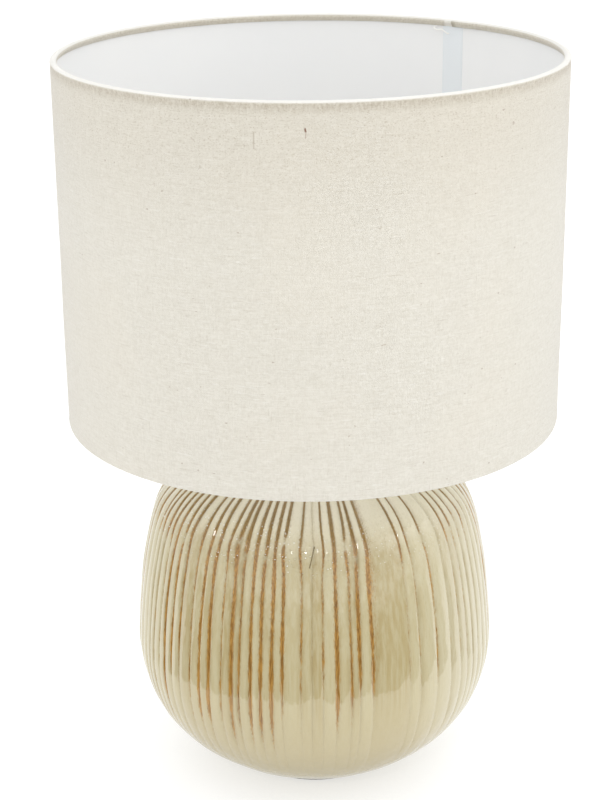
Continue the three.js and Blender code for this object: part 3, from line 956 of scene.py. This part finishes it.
def make_stray_thread(azimuth, radius, height):
    """A frayed end that curls out from under the fold where the liner's overlap ends."""
    curl = [(-4.0, 0.6, 0.2), (-5.4, 1.6, 1.4), (-2.8, 2.2, 2.6), (0.2, 2.0, 2.2), (2.6, 1.6, 3.4),
            (4.4, 1.0, 4.6), (5.4, 0.5, 4.4)]
    knots = [polar(azimuth - along * MM / radius, radius - inwards * MM, height - down * MM)
             for along, inwards, down in curl]
    return wire("stray_thread", smooth_route(knots, 8), 0.42 * MM, 8)


def make_carrier_arms():
    """Three wires from the bottom ring, in and up to the ring round the lampholder."""
    wire_lo, wire_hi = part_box("bottom_wire_ring")
    radius = (wire_hi.z - wire_lo.z) / 2
    circle = wire_hi.x - radius
    ring_lo, ring_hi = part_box("carrier_ring")
    start, end = wire_hi.z + 0.3 * MM, (ring_lo.z + ring_hi.z) / 2
    for number in (1, 2, 3):
        node = f"carrier_arm_{number}"
        lo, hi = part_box(node)
        azimuth = math.atan2(lo.y + hi.y, lo.x + hi.x)
        knots = [(circle - 0.6 * MM, start), (circle - 1.2 * MM, start + 2 * MM),
                 (circle - 7 * MM, start + 5.5 * MM), (0.09, start + (end - start) * 0.48),
                 (0.036, end - 1 * MM), (ring_hi.x + 0.3 * MM, end)]
        route = smooth_route([polar(azimuth, reach, height) for reach, height in knots])
        finish_piece(wire(node + "_fine", route, radius), node, "painted_wire")


# ---- Ceramic base ----
# Grooves on the front: azimuths in degrees (right of the middle is positive) and how brown their lines are.
FRONT_GROOVES = [
    (-75, 0.25), (-70, 0.3), (-66.5, 0.3), (-63, 0.35), (-59, 0.4), (-55.6, 0.8), (-51.7, 0.75), (-47.9, 0.6),
    (-42.7, 0.5), (-38.6, 0.85), (-35, 0.95), (-30.3, 0.5), (-26.6, 1.0), (-23.9, 0.6), (-20.1, 0.85),
    (-16.8, 0.85), (-13.3, 0.95), (-10, 0.8), (-4.2, 0.5), (-0.8, 0.15), (2.6, 0.5), (6.8, 1.0), (11.3, 0.65),
    (13.9, 0.85), (18.1, 1.0), (30.9, 0.3), (34.9, 0.35), (41.8, 0.5), (48.4, 0.15), (53.3, 0.25),
    (57.2, 0.3), (61, 0.25), (65.5, 0.25), (70, 0.2), (75, 0.2),
]

# The heights in millimetres where lines fade out, and its limits between two azimuths in degrees.
FADE_HEIGHTS = [30, 50, 62, 70, 76, 82]
FRONT_REACH = [(-45, -12, 28, 50), (5, 20, 66, 82)]

# Where the ribs turn in over the shoulder, and how far the turn reaches up and down.
JOG_HEIGHT, JOG_REACH = 0.178, 0.009
# The least gap between grooves whose rib is of full height, and that height.
FULL_GAP, RIB_HEIGHT = math.radians(4.2), 1.1 * MM
OUTLINE_ROWS = 94


class Groove:
    """A groove of the base: its course and the brown line of glaze in it."""

    def __init__(self, azimuth, brown):
        self.azimuth = math.radians(azimuth - 90)
        self.brown = brown
        self.seed = random.uniform(0, 100)
        self.fade_height = random.choice(FADE_HEIGHTS) * MM
        for left, right, lowest, highest in FRONT_REACH:
            if left < azimuth < right:
                self.fade_height = max(lowest * MM, min(highest * MM, self.fade_height))
        self.kink = random.uniform(-0.9, 0.9)
        self.pools = [min(1.0, 1.6 * brown) * random.choice([0.0, 0.5, 1.0]) for _ in range(2)]
        self.tone = random.choice([0.0, 0.2, 0.5, 0.9])
        self.shoulder = 0.9 if azimuth < -8 else 0.6
        self.break_depth = 0.9 if self.seed % 1 < 0.35 else 0.0
        self.break_height = 0.171 + 0.012 * (self.seed % 0.1) / 0.1

    def at(self, height):
        """The groove's azimuth at a height: it wanders, and jogs sideways as it turns in."""
        wander = 0.28 * noise.noise(Vector((self.seed, height * 18, 0)))
        return self.azimuth + math.radians(wander + self.kink * bell(height, JOG_HEIGHT, JOG_REACH))

    def fading(self, height, below=0.014, above=0.034):
        """From none below the line's lower end to one where it has its full width."""
        return smooth_step(self.fade_height - below, self.fade_height + above, height)

    def brownness(self, height):
        streaks = 0.82 + 0.5 * noise.noise(Vector((self.seed, height * 60, 5)))
        streaks += 0.35 * smooth_step(0.15, 0.19, height)
        unbroken = 1 - self.break_depth * bell(height, self.break_height, 0.0025)
        return self.strength(height) * self.fading(height) * unbroken * max(0.0, min(1.15, streaks))

    def strength(self, height):
        """How brown the line is before it fades. Faint lines darken too as they turn in."""
        shoulder = self.shoulder * smooth_step(0.152, 0.178, height) * smooth_step(0.1, 0.25, self.brown)
        return max(self.brown, shoulder)

    def pooling(self, height):
        patches = 0.6 + 0.9 * noise.noise(Vector((self.seed, height * 26, 11)))
        return self.fading(height, 0.012, 0.03) * max(0.0, min(1.0, patches))


def smooth_step(low, high, value):
    t = max(0.0, min(1.0, (value - low) / (high - low)))
    return t * t * (3 - 2 * t)


def make_grooves():
    grooves = [Groove(azimuth, brown) for azimuth, brown in FRONT_GROOVES]
    azimuth, last = FRONT_GROOVES[-1][0] + 4.2, FRONT_GROOVES[0][0] + 360 - 3
    while azimuth < last:
        grooves.append(Groove(azimuth, random.choice([0.3, 0.5, 0.65, 0.85, 1.0])))
        azimuth += random.uniform(3.3, 5.2)
    return grooves


def ceramic_outline():
    """Rows of the body's outside from foot to crown, and the points of its inside back to the foot."""
    points, _ = half_section("ceramic_body")
    lowest, highest = min(p[1] for p in points), max(p[1] for p in points)
    foot = max(p for p in points if p[1] < lowest + 0.5 * MM)
    crown = max(p for p in points if p[1] > highest - 0.1 * MM)
    start, end = points.index(foot), points.index(crown)
    if end < start or points[(start + 1) % len(points)][0] < foot[0]:
        points.reverse()
        start, end = points.index(foot), points.index(crown)
    points = points[start:] + points[:start]
    count = (end - start) % len(points) + 1
    return rows_along(rounded(points[:count], closed=False, steps=4), OUTLINE_ROWS), points[count:]


def ceramic_columns(grooves, widest):
    """Each a groove, the next one, the gap between them and the column's share of it."""
    columns = []
    for index, groove in enumerate(grooves):
        following = grooves[(index + 1) % len(grooves)]
        gap = (following.azimuth - groove.azimuth) % TURN
        near = [min(0.3, distance * MM / (gap * widest)) for distance in (0.4, 0.9, 1.5)]
        quarter = (near[2] + 0.5) / 2
        shares = [0, *near, quarter, 0.5, 1 - quarter, *[1 - share for share in reversed(near)]]
        columns += [(groove, following, gap, share) for share in shares]
    return columns


def carved(column, radius, height, normal, widest):
    """A point of the grooved outside, and how brown, pooled and dark the glaze is there."""
    groove, following, gap, share = column
    left, right = groove.at(height), following.at(height)
    azimuth = left + share * ((right - left) % TURN)
    depth = smooth_step(0.015, 0.085, height) * min(1.0, radius / (0.7 * widest))
    rib = RIB_HEIGHT * min(1.0, math.sqrt(gap / FULL_GAP) * 0.95)
    fall = -rib * abs(2 * share - 1) ** 3.4
    lump = 0.25 * MM * noise.noise(Vector(polar(azimuth, 5, height * 30)))
    own_lump = 0.4 * MM * noise.noise(Vector((groove.seed, height * 42, 9))) * math.sin(math.pi * share)
    offset = depth * (fall + own_lump) + lump
    radius, height = radius + normal[0] * offset, height + normal[1] * offset
    distance = min(share, 1 - share) * gap * widest / MM
    nearer = groove if share < 0.5 else following
    width = (0.6 + 0.8 * nearer.strength(height)) * (0.6 + 0.4 * nearer.fading(height))
    pool = bell(distance, 0.8, 1.7) * nearer.pools[int(share < 0.5)]
    return polar(azimuth, radius, height), {
        "brown": bell(distance, 0, width) * nearer.brownness(height),
        "pool": pool * nearer.pooling(height),
        "tone": groove.tone,
    }


def make_ceramic():
    outline, inside = ceramic_outline()
    widest = max(radius for radius, _ in outline)
    columns = ceramic_columns(make_grooves(), widest)
    vertices, glaze = [], []
    last = len(outline) - 1
    for row, (radius, height) in enumerate(outline):
        before, after = outline[max(row - 1, 0)], outline[min(row + 1, last)]
        normal = Vector((after[1] - before[1], before[0] - after[0])).normalized()
        normal = normal * min(1.0, row / 2, (last - row) / 4)
        for column in columns:
            point, coat = carved(column, radius, height, normal, widest)
            vertices.append(point)
            glaze.append(coat)
    for radius, height in inside:
        vertices += [polar(groove.azimuth + share * gap, radius, height) for groove, _, gap, share in columns]
    faces = quads(len(outline) + len(inside), len(columns), around=True)
    ceramic = new_object("ceramic_base", vertices, faces)
    for name in ("brown", "pool", "tone"):
        layer = ceramic.data.attributes.new(name, "FLOAT", "POINT")
        values = [coat[name] for coat in glaze]
        layer.data.foreach_set("value", values + [0.0] * (len(vertices) - len(values)))
    drill_cable_hole(ceramic)
    finish_piece(ceramic, "ceramic_body", "glaze", 180)


def rows_along(outline, count):
    """The outline again, in even steps along its length."""
    points = np.array(outline)
    lengths = np.concatenate([[0], np.cumsum(np.linalg.norm(np.diff(points, axis=0), axis=1))])
    steps = np.linspace(0, lengths[-1], count)
    return list(zip(*(np.interp(steps, lengths, axis).tolist() for axis in points.T)))


def drill_cable_hole(ceramic):
    """The cable hole, with a flat seat for each flange of the grommet."""
    place, gap = own_axis("cable_grommet"), 0.3 * MM
    points, _ = half_section("cable_grommet", place=place)
    flange, bore = max(radius for radius, _ in points), min(radius for radius, _ in points)
    neck = [point for point in points if bore + 1 * MM < point[0] < flange - 1.5 * MM]
    neck_radius = max(radius for radius, _ in neck)
    low, high = min(height for _, height in neck) + gap, max(height for _, height in neck) - gap
    far = 20 * MM
    drill(ceramic, place, [
        (0, -far), (flange + gap, -far), (flange + gap, low), (neck_radius + gap, low),
        (neck_radius + gap, high), (flange + gap, high), (flange + gap, far), (0, far),
    ])


make_camera()
MATERIALS = make_materials()
make_studio()
make_turned_pieces()
make_threaded_pieces()
make_holder_cap()
make_flat_pieces()
make_shade()
make_ceramic()
